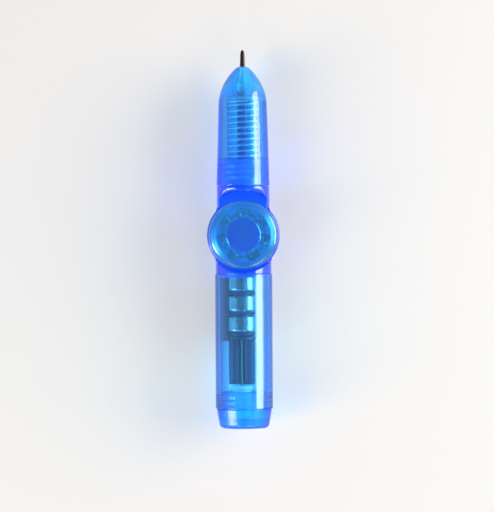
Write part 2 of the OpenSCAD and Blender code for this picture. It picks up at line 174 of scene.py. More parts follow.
styrene = {
    "clear": {"skin": "#a8e8ff", "clear": 0.96, "tint": "#00ecff", "density": 260.0, "rough": (0.08, 0.14),
              "relief": 0.002, "gloss": 0.1, "edge": "#2050de"},
    "nose": {"skin": "#9ce4ff", "clear": 0.96, "tint": "#00dcff", "density": 300.0, "rough": (0.08, 0.14),
             "relief": 0.002, "gloss": 0.1, "edge": "#2a66e6"},
    "hazy": {"skin": "#3cd4ff", "clear": 0.85, "tint": "#00e6ff", "density": 260.0, "rough": (0.2, 0.28),
             "relief": 0.003, "edge": "#2a66e6"},
    "royal": {"skin": "#0074f4", "clear": 0.45, "tint": "#00ccff", "density": 150.0, "rough": (0.15, 0.25),
              "relief": 0.003, "bevel": 0.5, "gloss": 0.6, "edge": "#1a44f0"},
    "deep": {"skin": "#0012b8", "clear": 0.3, "tint": "#00ccff", "density": 150.0, "rough": (0.15, 0.25),
             "relief": 0.003, "gloss": 1.0},
    "azure": {"skin": "#66d0ff", "clear": 0.9, "tint": "#00e6ff", "density": 110.0, "rough": (0.16, 0.22),
              "relief": 0.002, "gloss": 0.6, "edge": "#3c9cff"},
}
clearBlueStyrene = dyedStyrene("Polystyrene clear blue moulded", **styrene["clear"])
noseBlueStyrene = dyedStyrene("Polystyrene clear blue thick moulded", **styrene["nose"])
# The nose's thick front is hazier and bluer than its walls
haze = {"start": 35.0, "full": 39.0, "skin": "#58e0ff", "clear": 0.7}
hazeShare = toneAlong(noseBlueStyrene, haze)
tree = noseBlueStyrene.node_tree
clearness = addNode(tree, "ShaderNodeMapRange", {
    "Value": hazeShare, "To Min": styrene["nose"]["clear"], "To Max": haze["clear"]})
tree.links.new(clearness.outputs["Result"], tree.nodes["Principled BSDF"].inputs["Transmission Weight"])
hazyBlueStyrene = dyedStyrene("Polystyrene clear blue satin", **styrene["hazy"])
royalBlueStyrene = dyedStyrene("Polystyrene royal blue moulded", **styrene["royal"])
# Painted light: the spigot is painted lighter, for the light that also reaches it through the clear nose
spigotPaintedLight = {"start": 13.0, "full": 13.2, "skin": "#1e98ff"}
toneAlong(royalBlueStyrene, spigotPaintedLight)
deepBlueStyrene = dyedStyrene("Polystyrene deep blue moulded", **styrene["deep"])
azureStyrene = dyedStyrene("Polystyrene azure polished", **styrene["azure"])


# A plain finish: two close tones in one grain, which also sets the roughness and a fine relief
def plainFinish(name, sockets, colour, stain, rough, grain, relief, stretch=(1, 1, 1), bevel=0.0):
    finish, tree, shader, place = startFinish(name, sockets)
    noise = wearIn(tree, shader, place, grain, rough, relief, stretch, bevel)
    tone = addNode(tree, "ShaderNodeMix", {0: noise, 6: toLinear(colour), 7: toLinear(stain)},
                   data_type="RGBA")
    tree.links.new(tone.outputs[2], shader.inputs["Base Color"])
    return finish


metal = {"Metallic": 1.0}
# Chrome bearing steel, lapped: the balls are near mirrors
ballSteel = plainFinish("Chrome steel lapped", metal, "#d9dde2", "#c6cad0",
                        rough=(0.06, 0.14), grain=0.35, relief=0.001)
# Chrome bearing steel, ground: fine rings round the races draw each lamp out across them
ground = {"Metallic": 1.0, "Anisotropic": 0.85, "Anisotropic Rotation": 0.25}
raceSteel = plainFinish("Chrome steel ground", ground, "#eaeef2", "#dce0e5",
                        rough=(0.4, 0.48), grain=0.35, relief=0.001, stretch=(1, 1, 6))
tree = raceSteel.node_tree
rings = addNode(tree, "ShaderNodeTangent", direction_type="RADIAL", axis="Z")
tree.links.new(rings.outputs[0], tree.nodes["Principled BSDF"].inputs["Tangent"])
# Carbon steel strip, pressed: pale grey and a little uneven
cageSteel = plainFinish("Steel strip pressed", metal, "#c0c6da", "#aab0c6",
                        rough=(0.3, 0.45), grain=0.5, relief=0.006)
# Nickel silver, turned: fine rings across it; outside the nose it is painted dark as painted shade, and
# inside the nose it keeps its bright colour
pointMetal = plainFinish("Nickel silver turned", metal, "#4d443e", "#352e2a",
                         rough=(0.32, 0.48), grain=0.3, relief=0.004, stretch=(1, 8, 1))
# the point keeps its bright colour inside the nose; outside it the dark colour stays as painted shade
outsideShadeSplit = {"start": 44.6, "full": 43.8, "skin": "#d5d2cb"}
toneAlong(pointMetal, outsideShadeSplit)
# Tungsten carbide, lapped: a dark mirror
carbide = plainFinish("Tungsten carbide lapped", metal, "#7d7f84", "#6a6c72",
                      rough=(0.1, 0.2), grain=0.2, relief=0.001)
# Spring steel, cold drawn: bright wire with a soft sheen
springSteel = plainFinish("Spring steel drawn", metal, "#f2f4f6", "#e4e7ea",
                          rough=(0.4, 0.5), grain=0.4, relief=0.003)
# Nickel plate on steel, deep drawn: soft bright can with faint streaks along it
cellNickel = plainFinish("Nickel plate deep drawn", metal, "#f2e4f6", "#e0d4e6",
                         rough=(0.15, 0.25), grain=0.6, relief=0.004, stretch=(3, 0.5, 3))
# Nickel strip, rolled and punched: grain along its length
stripNickel = plainFinish("Nickel strip rolled", metal, "#cfcbc2", "#b5b1a8",
                          rough=(0.25, 0.4), grain=0.4, relief=0.004, stretch=(6, 0.5, 6), bevel=0.06)
# Tinned copper wire and solder, dipped: greyish and slightly cloudy
tinnedWire = plainFinish("Tin plate dipped", metal, "#6c7a98", "#5c6884",
                         rough=(0.3, 0.5), grain=0.5, relief=0.006)
# Polypropylene, extruded: a milky clear tube that takes on the blue of its ink
tubePlastic = plainFinish("Polypropylene extruded", {"IOR": 1.49, "Transmission Weight": 0.85},
                          "#9cc8ff", "#8cbcf8", rough=(0.12, 0.25), grain=0.8, relief=0.004)
# Ballpoint ink: a wet blue paste
inkPaste = plainFinish("Ballpoint ink paste", {"IOR": 1.45}, "#0a5cf0", "#0850d8",
                       rough=(0.08, 0.2), grain=1.2, relief=0.01)
# Acetal, moulded: waxy white
collarPlastic = plainFinish("Acetal moulded", {"IOR": 1.48, "Transmission Weight": 0.6},
                            "#dbe6f0", "#c6d6e6", rough=(0.2, 0.35), grain=0.6, relief=0.004)
# Polyethylene, moulded: soft dark grey
plugPlastic = plainFinish("Polyethylene moulded", {"IOR": 1.51}, "#454a52", "#3a3e46",
                          rough=(0.35, 0.5), grain=0.5, relief=0.008)
# Nylon, moulded: dark navy, slightly satin; on the seals it also carries the bands of painted shade between
# the cells
sealNylon = plainFinish("Nylon moulded", {"IOR": 1.53}, "#102064", "#0c184e",
                        rough=(0.35, 0.55), grain=0.4, relief=0.006)
# ABS, moulded: a satin navy tray
cradlePlastic = plainFinish("ABS navy moulded", {"IOR": 1.54}, "#122060", "#0d184e",
                            rough=(0.3, 0.5), grain=0.4, relief=0.01, bevel=0.08)
# Polyolefin sleeve, shrunk over a metal can: dark navy with soft wrinkles
sleevePlastic = plainFinish("Polyolefin sleeve shrunk", {"IOR": 1.5}, "#0c1e68", "#081650",
                            rough=(0.4, 0.6), grain=0.9, relief=0.03)
# Glass epoxy board under a navy mask: satin, with the weave just under it
boardLaminate = plainFinish("Glass epoxy masked", {"IOR": 1.55}, "#0c1c5c", "#0a164c",
                            rough=(0.3, 0.45), grain=0.35, relief=0.008, bevel=0.05)
# Epoxy, cast with diffuser in it: milky white
lensEpoxy = plainFinish("Epoxy milky cast", {"IOR": 1.53, "Transmission Weight": 0.35},
                        "#f4f8fc", "#e8f0f8", rough=(0.08, 0.2), grain=0.8, relief=0.004)
print("finishes ready:", len(bpy.data.materials))

onAxis = 1e-6  # a smaller radius than this is on the axis
slightTurn = 0.35  # radians; a smaller turn of a profile isn't rounded
mostOfRun = 0.45  # share of a run that one rounded corner may take


# Rounds the corners of a profile, given as points of radius and place along the axis.
# A point with a third value is left as it is.
def softCorners(points, radius, steps=3):
    result = [points[0]]
    for before, here, after in zip(points, points[1:], points[2:]):
        corner = Vector(here[:2])
        first = corner - Vector(before[:2])
        second = Vector(after[:2]) - corner
        turn = first.angle(second, 0.0) if first.length and second.length else 0.0
        if turn < slightTurn or here[0] < onAxis or len(here) > 2:
            result.append(here)
            continue
        reach = min(radius * math.tan(turn / 2), mostOfRun * first.length, mostOfRun * second.length)
        start = corner - first.normalized() * reach
        end = corner + second.normalized() * reach
        for i in range(steps + 1):
            t = i / steps
            spot = start * (1 - t) ** 2 + corner * 2 * t * (1 - t) + end * t * t
            result.append((spot.x, spot.y))
    result.append(points[-1])
    return result


def curveOf(centre, radius, fromAngle, toAngle, steps):
    turns = [math.radians(fromAngle + (toAngle - fromAngle) * i / steps) for i in range(steps + 1)]
    return [(centre[0] + radius * math.cos(a), centre[1] + radius * math.sin(a)) for a in turns]


# Section of a plain ring, which starts and ends on its bore
def ringSection(inside, outside, low, high, start, seam=ease):
    return [(inside, start), (inside, low), (outside, low), (outside, high), (inside, high),
            (inside, start + seam)]


# A straight run of close rings that a thread can shape
def threadRun(radius, fromPlace, toPlace, step=0.14):
    count = max(2, int(abs(toPlace - fromPlace) / step))
    return [(radius, fromPlace + (toPlace - fromPlace) * i / count, True) for i in range(count + 1)]


fadeLap = 0.2  # part of a lap over which a thread starts and ends
flankShare = 0.55  # part of a thread's half width that slopes


# How far a right-handed thread stands out of its run at one place and angle
def threadHeight(thread, place, angle):
    lap = (place - thread["start"]) / thread["pitch"]
    turn = angle / (2 * math.pi)
    whole = round(lap - turn)
    along = turn + whole
    fade = min(1.0, max(0.0, (along - thread["from"]) / fadeLap), max(0.0, (thread["to"] - along) / fadeLap))
    away = abs(lap - turn - whole) * thread["pitch"] / thread["half"]
    hump = max(0.0, min(1.0, (1.0 - away) / flankShare))
    return thread["depth"] * fade * hump * hump * (3 - 2 * hump)


def closeMesh(name, bm, sharp=38.0):
    bmesh.ops.recalc_face_normals(bm, faces=bm.faces)
    for face in bm.faces:
        face.smooth = True
    for edge in bm.edges:
        if len(edge.link_faces) == 2 and edge.calc_face_angle(0.0) > math.radians(sharp):
            edge.smooth = False
    mesh = bpy.data.meshes.new(name)
    bm.to_mesh(mesh)
    bm.free()
    piece = bpy.data.objects.new(name, mesh)
    bpy.context.scene.collection.objects.link(piece)
    return piece


# A point of a turned piece, about the spin axis or about a line along the pen that is set off across and up
def turnedSpot(about, radius, place, angle):
    across = radius * math.cos(angle)
    rise = radius * math.sin(angle)
    if about == "spin":
        return Vector((across, rise, penHeight + place)) * mm
    return Vector((about[0] + across, place, penHeight + about[1] - rise)) * mm


onPen = (0.0, 0.0)
onPack = (packShift, 0.0)


# Adds a point close to each end of a long run, so that smooth shading leaves the run straight
def heldRuns(profile, hold=0.1, longRun=5):
    result = [profile[0]]
    for here, after in zip(profile, profile[1:]):
        length = math.hypot(after[0] - here[0], after[1] - here[1])
        for share in (hold / length, 1 - hold / length) if length > longRun * hold else ():
            result.append((here[0] + (after[0] - here[0]) * share, here[1] + (after[1] - here[1]) * share))
        result.append(after)
    return result


def turnOut(name, profile, about=onPen, segments=96, thread=None, ring=False):
    bm = bmesh.new()
    loops = []
    for point in heldRuns(profile):
        if point[0] < onAxis:
            loops.append([bm.verts.new(turnedSpot(about, 0.0, point[1], 0.0))])
            continue
        loop = []
        for i in range(segments):
            angle = 2 * math.pi * i / segments
            extra = threadHeight(thread, point[1], angle) if len(point) > 2 and thread else 0.0
            loop.append(bm.verts.new(turnedSpot(about, point[0] + extra, point[1], angle)))
        loops.append(loop)
    pairs = list(zip(loops, loops[1:]))
    if ring:
        pairs.append((loops[-1], loops[0]))
    for low, high in pairs:
        for i in range(segments):
            j = (i + 1) % segments
            corners = [low[i % len(low)], low[j % len(low)], high[j % len(high)], high[i % len(high)]]
            unique = list(dict.fromkeys(corners))
            if len(unique) > 2:
                bm.faces.new(unique)
    return closeMesh(name, bm)


# A closed solid through a row of outlines that have the same number of points
def skinOver(name, bm, outlines, sharp=38.0):
    for low, high in zip(outlines, outlines[1:]):
        for k in range(len(low)):
            bm.faces.new((low[k - 1], low[k], high[k], high[k - 1]))
    bm.faces.new(outlines[0][::-1])
    bm.faces.new(outlines[-1])
    return closeMesh(name, bm, sharp)


# A round wire along a path of points
def wireAlong(name, path, radius, sides=12, sharp=50.0):
    bm = bmesh.new()
    spots = [Vector(p) for p in path]
    turns = [2 * math.pi * k / sides for k in range(sides)]
    rings = []
    lean = None
    for i, spot in enumerate(spots):
        way = (spots[min(i + 1, len(spots) - 1)] - spots[max(i - 1, 0)]).normalized()
        if lean is None:
            lean = way.orthogonal().normalized()
        lean = (lean - way * lean.dot(way)).normalized()
        side = way.cross(lean)
        ways = [lean * math.cos(a) + side * math.sin(a) for a in turns]
        rings.append([bm.verts.new((spot + out * radius) * mm) for out in ways])
    return skinOver(name, bm, rings, sharp)


def dress(piece, finish, body, slotName, *nodes):
    piece.data.materials.clear()
    piece.data.materials.append(finish)
    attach(piece, body)
    if nodes:
        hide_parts(*nodes)
    return piece


def dressNode(name, finish):
    node = cadNodes[name]
    if not node.data.materials:
        node.data.materials.append(finish)
    for i in range(len(node.data.materials)):
        node.data.materials[i] = finish


toMillimetres = Matrix.Scale(1000, 4)
toMetres = Matrix.Scale(0.001, 4)


# Joins or cuts two meshes and keeps the result as a new mesh on the first one, which is in mm meanwhile
def shapeWith(piece, tool, way):
    tool.data.transform(toMillimetres)
    change = piece.modifiers.new(way, "BOOLEAN")
    change.operation = way
    change.solver = "MANIFOLD"
    change.object = tool
    bpy.context.view_layer.update()
    graph = bpy.context.evaluated_depsgraph_get()
    mesh = bpy.data.meshes.new_from_object(piece.evaluated_get(graph))
    piece.modifiers.remove(change)
    piece.data = mesh
    bpy.data.objects.remove(tool)


# Takes a shaped mesh back to metres, merges its closest points and marks its sharp edges
def finishShape(piece, sharp=32.0, weld=0.002):
    piece.data.transform(toMetres)
    bm = bmesh.new()
    bm.from_mesh(piece.data)
    bmesh.ops.remove_doubles(bm, verts=bm.verts, dist=weld * mm)
    bmesh.ops.dissolve_degenerate(bm, edges=bm.edges, dist=weld * mm)
    for face in bm.faces:
        face.smooth = True
    openEdges = 0
    for edge in bm.edges:
        edge.smooth = len(edge.link_faces) != 2 or edge.calc_face_angle(0.0) <= math.radians(sharp)
        openEdges += len(edge.link_faces) != 2
    print(piece.name, "open edges:", openEdges, "volume mm3:", round(bm.calc_volume(signed=True) * 1e9, 1))
    bm.to_mesh(piece.data)
    bm.free()


# Nose cone. Its thread is drawn shallower than a real one, so that it shows as faint lines only,
# and its bore closes on the hub's spigot, so that the overlap looks blue from edge to edge.
nose = {
    "back": 13.16, "front": 44.6, "baseRadius": 7.05, "shoulderRadius": 6.45, "shoulder": 34.0,
    "taperSteps": 12, "frontRadius": 1.4, "frontEase": 0.12, "ogiveShort": 2.0, "ogiveSteps": 40,
    "tipHole": 0.85, "tipDepth": 0.6, "coneRadius": 1.75, "coneBack": 39.7, "seat": 36.5,
    "springBore": 4.3, "threadBore": 4.96, "threadEnd": 20.2, "corner": 0.15,
    "thread": {"start": 14.46, "pitch": 1.5, "half": 0.58, "depth": 0.03, "from": -2.0, "to": 3.25},
}
drop = nose["shoulderRadius"] - nose["frontRadius"]
rise = nose["front"] - nose["shoulder"]
ogive = (rise * rise + drop * drop) / (2 * drop)
ogiveEnd = math.degrees(math.asin(rise / ogive)) - nose["ogiveShort"]
noseProfile = [(nose["threadBore"] + ease / 2, nose["back"]), (nose["baseRadius"], nose["back"])]
for i in range(1, nose["taperSteps"]):
    t = i / nose["taperSteps"]
    noseProfile.append((nose["baseRadius"] + (nose["shoulderRadius"] - nose["baseRadius"]) * t,
                        nose["back"] + (nose["shoulder"] - nose["back"]) * t))
noseProfile += curveOf((nose["shoulderRadius"] - ogive, nose["shoulder"]), ogive, 0, ogiveEnd,
                       nose["ogiveSteps"])
noseProfile += [(nose["frontRadius"] - nose["frontEase"], nose["front"]), (nose["tipHole"], nose["front"])]
noseProfile += [(nose["tipHole"], nose["front"] - nose["tipDepth"]), (nose["coneRadius"], nose["coneBack"])]
noseProfile += [(nose["coneRadius"], nose["seat"]), (nose["springBore"], nose["seat"])]
noseProfile += [(nose["springBore"], nose["threadEnd"]), (nose["threadBore"], nose["threadEnd"])]
noseProfile += [(nose["threadBore"], nose["threadEnd"] - 2 * ease)]
noseProfile = softCorners(noseProfile, nose["corner"])
noseProfile += threadRun(nose["threadBore"], nose["threadEnd"] - 3 * ease, nose["back"] + ease)
noseCone = turnOut("noseCone", noseProfile, segments=128, thread=nose["thread"], ring=True)
dress(noseCone, noseBlueStyrene, "nose", "clear_blue", "nose_cone")

# Barrel, with a shallow thread as in the nose
barrel = {
    "front": -10.3, "back": -45.9, "radius": 7.6, "bore": 6.4, "threadEnd": -41.0, "corner": 0.16,
    "thread": {"start": -45.0, "pitch": 1.5, "half": 0.58, "depth": 0.12, "from": -2.0, "to": 2.25},
}
barrelProfile = [(barrel["bore"], barrel["back"] + ease), (barrel["bore"] + ease / 2, barrel["back"])]
barrelProfile += [(barrel["radius"], barrel["back"]), (barrel["radius"], barrel["front"])]
barrelProfile += [(barrel["bore"], barrel["front"]), (barrel["bore"], barrel["threadEnd"])]
barrelProfile = softCorners(barrelProfile, barrel["corner"])
barrelProfile += threadRun(barrel["bore"], barrel["threadEnd"] - ease, barrel["back"] + 2 * ease)
batteryBarrel = turnOut("batteryBarrel", barrelProfile, segments=128, thread=barrel["thread"], ring=True)
dress(batteryBarrel, clearBlueStyrene, "hub", "clear_blue", "battery_barrel")

# End cap
cap = {
    "face": -46.0, "end": -51.06, "jointRadius": 7.3, "jointEase": 0.15, "endRadius": 6.65, "endRound": 1.3,
    "endSteps": 12, "corner": 0.12, "spigot": 6.3, "spigotEnd": -41.3, "spigotEase": 0.3, "bore": 4.4,
    "floor": -48.46, "boreCorner": 0.25,
    "thread": {"start": -45.0, "pitch": 1.5, "half": 0.45, "depth": 0.1, "from": 0.0, "to": 2.0},
}
capProfile = [(0.0, cap["end"])]
capProfile += curveOf((cap["endRadius"] - cap["endRound"], cap["end"] + cap["endRound"]), cap["endRound"],
                      -90, 0, cap["endSteps"])
capProfile += [(cap["jointRadius"], cap["face"] - cap["jointEase"])]
capProfile += [(cap["jointRadius"] - cap["jointEase"], cap["face"])]
capProfile += [(cap["spigot"], cap["face"]), (cap["spigot"], cap["face"] + ease)]
capProfile = softCorners(capProfile, cap["corner"])
spigotLead = cap["spigotEnd"] - cap["spigotEase"]
capProfile += threadRun(cap["spigot"], cap["face"] + 2 * ease, spigotLead - ease)
capInside = [(cap["spigot"], spigotLead), (cap["spigot"] - cap["spigotEase"], cap["spigotEnd"])]
capInside += [(cap["bore"], cap["spigotEnd"]), (cap["bore"], cap["floor"]), (0.0, cap["floor"])]
capProfile += softCorners(capInside, cap["boreCorner"])
endCap = turnOut("endCap", capProfile, segments=128, thread=cap["thread"])
dress(endCap, hazyBlueStyrene, "cap", "clear_blue", "end_cap")
print("shells turned")

# Hub: two necks, the spigot with its shallow thread, the bearing plate, the flats and the bearing seat
hub = {
    "frontNeck": 7.0, "rearNeck": 7.4, "frontJoint": 13.06, "rearJoint": -10.3, "neckLap": 1.0,
    "plate": 9.6, "plateBevel": 0.3, "plateTwist": 0.013, "half": 3.0, "fillet": 2.0, "filletSteps": 10,
    "filletLap": 1.2, "filletRoot": 0.88, "filletInset": 0.015, "scoop": 10.7, "scoopAt": 0.97,
    "scoopHeight": 10.0, "seat": 8.52, "seatOver": 1.0, "cutTwist": 0.0071, "spigot": 5.0, "spigotEnd": 20.0,
    "spigotEase": 0.2, "socket": 1.95, "socketFloor": 10.2, "ring": 6.3, "ringBore": 5.5, "ringEnd": -11.2,
    "thread": {"start": 14.46, "pitch": 1.5, "half": 0.45, "depth": 0.16, "from": 0.0, "to": 3.0},
}
half = hub["half"]
spigotLead = hub["spigotEnd"] - hub["spigotEase"]
frontProfile = [(0.0, -hub["neckLap"]), (hub["frontNeck"], -hub["neckLap"])]
frontProfile += [(hub["frontNeck"], hub["frontJoint"] - ease), (hub["frontNeck"] - ease, hub["frontJoint"])]
frontProfile += [(hub["spigot"], hub["frontJoint"])]
frontProfile += threadRun(hub["spigot"], hub["frontJoint"] + ease, spigotLead - ease)
frontProfile += [(hub["spigot"], spigotLead), (hub["spigot"] - hub["spigotEase"], hub["spigotEnd"])]
frontProfile += [(hub["socket"] + hub["spigotEase"], hub["spigotEnd"]), (hub["socket"], spigotLead)]
frontProfile += [(hub["socket"], hub["socketFloor"]), (0.0, hub["socketFloor"])]
hubBody = turnOut("hubBody", frontProfile, segments=128, thread=hub["thread"])
hubBody.data.transform(toMillimetres)
rearProfile = [(0.0, hub["neckLap"]), (hub["rearNeck"], hub["neckLap"])]
rearProfile += [(hub["rearNeck"], hub["rearJoint"] + ease), (hub["rearNeck"] - ease, hub["rearJoint"])]
rearProfile += [(hub["ring"], hub["rearJoint"]), (hub["ring"], hub["ringEnd"])]
rearProfile += [(hub["ringBore"], hub["ringEnd"]), (hub["ringBore"], hub["rearJoint"])]
rearProfile += [(0.0, hub["rearJoint"])]
shapeWith(hubBody, turnOut("rearNeck", rearProfile, segments=128), "UNION")
over = half + ease / 2  # the flats are cut down to their height after the pieces are joined
plateFace = hub["plate"] - hub["plateBevel"] - ease / 2
plateProfile = [(0.0, -over), (plateFace, -over), (hub["plate"], hub["plateBevel"] - half)]
plateProfile += [(hub["plate"], half - hub["plateBevel"]), (plateFace, over), (0.0, over)]
bearingPlate = turnOut("bearingPlate", plateProfile, "spin", segments=160)
# A small twist keeps the plate's corners off the necks' edges
bearingPlate.data.transform(Matrix.Rotation(hub["plateTwist"], 4, "Z"))
shapeWith(hubBody, bearingPlate, "UNION")


# Fills one corner between the plate and a neck
def plateCorner(neck, acrossSign, alongSign):
    across = neck + hub["fillet"]
    along = math.sqrt((hub["plate"] + hub["fillet"]) ** 2 - across * across)
    turn = math.degrees(math.atan(along / across))
    outline = [(across - hub["fillet"] - hub["filletLap"], along)]
    outline += curveOf((across, along), hub["fillet"], 180, 180 + turn, hub["filletSteps"])
    outline += [(hub["filletRoot"] * outline[-1][0], hub["filletRoot"] * outline[-1][1])]
    bm = bmesh.new()
    levels = [[bm.verts.new(Vector((x * acrossSign, y * alongSign, penHeight + up)) * mm) for x, y in outline]
              for up in (hub["filletInset"] - half, half - hub["filletInset"])]
    return skinOver("plateCorner", bm, levels)


for acrossSign in (-1, 1):
    shapeWith(hubBody, plateCorner(hub["frontNeck"], acrossSign, 1), "UNION")
    shapeWith(hubBody, plateCorner(hub["rearNeck"], acrossSign, -1), "UNION")


def roundCutter(radius, low, high, along):
    section = [(0.0, low), (radius, low), (radius, high), (0.0, high)]
    cutter = turnOut("roundCutter", section, "spin", segments=192)
    cutter.data.transform(Matrix.Translation((0, along * mm, 0)) @ Matrix.Rotation(hub["cutTwist"], 4, "Z"))
    return cutter


scoopEnd = half + hub["scoopHeight"]
seatEnd = half + hub["seatOver"]
shapeWith(hubBody, roundCutter(hub["scoop"], half, scoopEnd, hub["scoopAt"]), "DIFFERENCE")
shapeWith(hubBody, roundCutter(hub["scoop"], -scoopEnd, -half, hub["scoopAt"]), "DIFFERENCE")
shapeWith(hubBody, roundCutter(hub["seat"], -seatEnd, seatEnd, 0.0), "DIFFERENCE")

# The front neck's edge rolls over into the scoop and catches the lamps as two pale arcs.
# The roll takes a share of the neck's length and height, and less in the middle.
roll = {"slices": 60, "steps": 9, "alongShare": 0.75, "upShare": 0.9, "middle": 0.3, "fullAt": 3.6,
        "least": 0.15, "over": 0.5}


def neckRoll(upSign):
    bm = bmesh.new()
    widest = math.sqrt(hub["frontNeck"] ** 2 - (half + roll["least"]) ** 2)
    slices = []
    for i in range(roll["slices"] + 1):
        x = widest * (2 * i / roll["slices"] - 1)
        wall = hub["scoopAt"] + math.sqrt(hub["scoop"] ** 2 - x * x)
        top = math.sqrt(hub["frontNeck"] ** 2 - x * x)
        near = min(1.0, abs(x) / roll["fullAt"])
        radius = min(roll["alongShare"] * (hub["frontJoint"] - wall), roll["upShare"] * (top - half))
        radius *= roll["middle"] + (1 - roll["middle"]) * near * near * (3 - 2 * near)
        outline = curveOf((wall + radius, top - radius), radius, 180, 90, roll["steps"])
        outline += [(wall + radius, top + roll["over"]), (wall - roll["over"], top + roll["over"])]
        outline += [(wall - roll["over"], top - radius)]
        slices.append([bm.verts.new(Vector((x, y, penHeight + upSign * up)) * mm) for y, up in outline])
    return skinOver("neckRoll", bm, slices)


for upSign in (-1, 1):
    shapeWith(hubBody, neckRoll(upSign), "DIFFERENCE")
finishShape(hubBody)
dress(hubBody, royalBlueStyrene, "hub", "royal_blue", "hub_body")
print("hub shaped:", len(hubBody.data.polygons), "faces")

# Pads, drawn over the pen axis for the front one and mirrored for the back one
pad = {
    "radius": 9.14, "low": 3.6, "high": 8.2, "faceRound": 1.5, "faceSteps": 14, "backRound": 0.6,
    "backSteps": 8, "pocket": 4.42, "pocketEase": 0.8, "pocketRound": 0.35, "ledge": 4.34, "socket": 2.42,
    "socketEnd": 6.34,
}


def padProfile(side):
    face = curveOf((pad["radius"] - pad["faceRound"], pad["high"] - pad["faceRound"]), pad["faceRound"],
                   90, 0, pad["faceSteps"])
    back = curveOf((pad["radius"] - pad["backRound"], pad["low"] + pad["backRound"]), pad["backRound"],
                   0, -90, pad["backSteps"])
    mouth = [(pad["pocket"] + pad["pocketEase"], pad["low"]), (pad["pocket"], pad["low"])]
    mouth += [(pad["pocket"], pad["ledge"])]
    inside = softCorners(mouth, pad["pocketRound"], steps=5)
    inside += [(pad["socket"], pad["ledge"]), (pad["socket"], pad["socketEnd"]), (0.0, pad["socketEnd"])]
    return [(r, side * up) for r, up in [(0.0, pad["high"])] + face + back + inside]


frontPad = turnOut("frontPad", padProfile(1), "spin", segments=160)
dress(frontPad, azureStyrene, "spinner", "clear_azure", "front_pad")
backPad = turnOut("backPad", padProfile(-1), "spin", segments=160)
dress(backPad, azureStyrene, "spinner", "clear_azure", "back_pad")

# Spindles: two heads, with a pin on the front one and a hole for it in the back one
spindle = {
    "stub": 2.98, "split": 0.02, "flange": 4.4, "face": 3.02, "flangeEnd": 4.32, "boss": 2.4, "bossEnd": 6.22,
    "pin": 1.2, "pinEnd": -2.4, "pinHole": 1.22, "holeEnd": -2.5, "corner": 0.28,
}
headProfile = [(spindle["stub"], spindle["split"]), (spindle["stub"], spindle["face"])]
headProfile += [(spindle["flange"], spindle["face"]), (spindle["flange"], spindle["flangeEnd"])]
headProfile += [(spindle["boss"], spindle["flangeEnd"], "sharp")]
headProfile += [(spindle["boss"], spindle["bossEnd"], "sharp"), (0.0, spindle["bossEnd"])]
frontShape = [(0.0, spindle["pinEnd"]), (spindle["pin"], spindle["pinEnd"])]
frontShape += [(spindle["pin"], spindle["split"])] + headProfile
frontSpindle = turnOut("frontSpindle", softCorners(frontShape, spindle["corner"], steps=5), "spin")
dress(frontSpindle, deepBlueStyrene, "spinner", "royal_blue", "front_spindle")
backShape = [(0.0, spindle["holeEnd"]), (spindle["pinHole"], spindle["holeEnd"])]
backShape += [(spindle["pinHole"], -spindle["split"])]
backShape += [(point[0], -point[1]) + point[2:] for point in headProfile]
backSpindle = turnOut("backSpindle", softCorners(backShape, spindle["corner"], steps=5), "spin")
dress(backSpindle, deepBlueStyrene, "spinner", "royal_blue", "back_spindle")

# Bearing rings. Their faces slope more than real ones do, so that they catch the light through the pad's rim.
bearing = {
    "bore": 3.0, "outside": 8.5, "half": 3.0, "innerLand": 4.4, "outerLand": 7.1, "innerSlope": 0.2,
    "outerSlope": 0.6, "rimShare": 0.12, "circle": 5.75, "groove": 1.78, "grooveSteps": 16, "ball": 1.75,
    "balls": 7, "ballSteps": 24, "chamfer": 0.25,
}


def raceProfile(wall, land, slope):
    spread = math.degrees(math.acos(abs(land - bearing["circle"]) / bearing["groove"]))
    groove = curveOf((bearing["circle"], 0.0), bearing["groove"], -spread, spread, bearing["grooveSteps"])
    if land < bearing["circle"]:
        groove = [(2 * bearing["circle"] - r, up) for r, up in groove]
    low = -bearing["half"]
    high = bearing["half"]
    rim = land + bearing["rimShare"] * (wall - land)
    ends = [(wall, 0.0), (wall, low + slope), (rim, low), (land, low)] + groove
    ends += [(land, high), (rim, high), (wall, high - slope), (wall, ease)]
    return softCorners(ends, bearing["chamfer"], steps=5)


innerProfile = raceProfile(bearing["bore"], bearing["innerLand"], bearing["innerSlope"])
innerRace = turnOut("innerRace", innerProfile, "spin", ring=True)
dress(innerRace, raceSteel, "spinner", "bearing_steel", "bearing_inner_race")
outerProfile = raceProfile(bearing["outside"], bearing["outerLand"], bearing["outerSlope"])
outerRace = turnOut("outerRace", outerProfile, "spin", segments=128, ring=True)
dress(outerRace, raceSteel, "hub", "bearing_steel", "bearing_outer_race")


# A ball at its place round the circle, as a piece or as the pocket that holds one
def ballAt(name, number, radius):
    angle = math.radians(90 + 360 * number / bearing["balls"])
    ball = turnOut(name, curveOf((0.0, 0.0), radius, -90, 90, bearing["ballSteps"]), "spin", segments=40)
    across = bearing["circle"] * mm
    ball.data.transform(Matrix.Translation((across * math.cos(angle), across * math.sin(angle), 0)))
    return ball


# The cage is a ring with a pocket for each ball
cage = {"inside": 5.45, "outside": 6.05, "low": -2.6, "high": 0.3, "seam": 0.2, "pocket": 1.83,
        "corner": 0.08}
cageMiddle = (cage["low"] + cage["high"]) / 2
cageProfile = ringSection(cage["inside"], cage["outside"], cage["low"], cage["high"], cageMiddle,
                          cage["seam"])
cageProfile = softCorners(cageProfile, cage["corner"])
bearingCage = turnOut("bearingCage", cageProfile, "spin", segments=150, ring=True)
bearingCage.data.transform(toMillimetres)
for i in range(1, bearing["balls"] + 1):
    shapeWith(bearingCage, ballAt("ballPocket", i, cage["pocket"]), "DIFFERENCE")
finishShape(bearingCage)
dress(bearingCage, cageSteel, "ball_set", "cage_steel", "bearing_cage")
for i in range(1, bearing["balls"] + 1):
    bearingBall = ballAt(f"bearingBall{i}", i, bearing["ball"])
    dress(bearingBall, ballSteel, "ball_set", "bearing_steel", f"bearing_ball_{i}")
print("spinner built")

